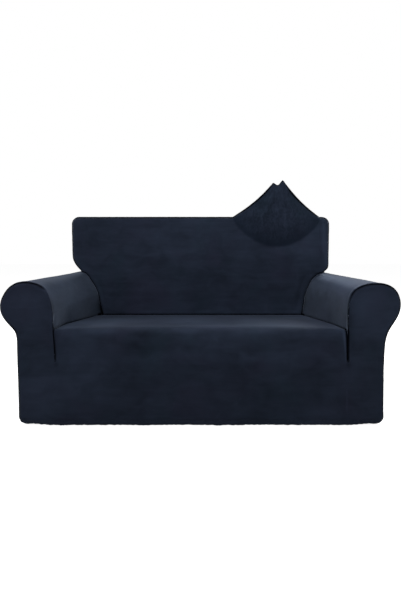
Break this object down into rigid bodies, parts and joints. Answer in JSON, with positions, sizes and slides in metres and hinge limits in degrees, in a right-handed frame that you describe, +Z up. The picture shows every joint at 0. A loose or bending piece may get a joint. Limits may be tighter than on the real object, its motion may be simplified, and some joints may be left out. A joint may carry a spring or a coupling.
{
  "type": "sofa slipcover",
  "caption": "Fitted stretch-velvet cover for a rolled-arm loveseat: hollow and open below, elastic hem, back's top edge pulled up to a hollow-sided peak on one side.",
  "frame": {"origin": "the point under the middle of the back's top, inside the cover, where the sofa's back holds it up", "axes": "+X along the sofa's width, to the right as seen from the front; +Y from the front to the rear; +Z up"},
  "size_m": [1.65, 0.86, 1.1093],
  "materials": {
    "velvet": "Dark navy stretch velvet: short dense pile with a soft sheen at grazing angles and faint lighter and darker brushed patches."
  },
  "bodies": {
    "root": {"seat_front_panel": "velvet", "inside_back_panel": "velvet", "outside_back_panel": "velvet", "left_arm_panel": "velvet", "right_arm_panel": "velvet"}
  },
  "joints": []
}
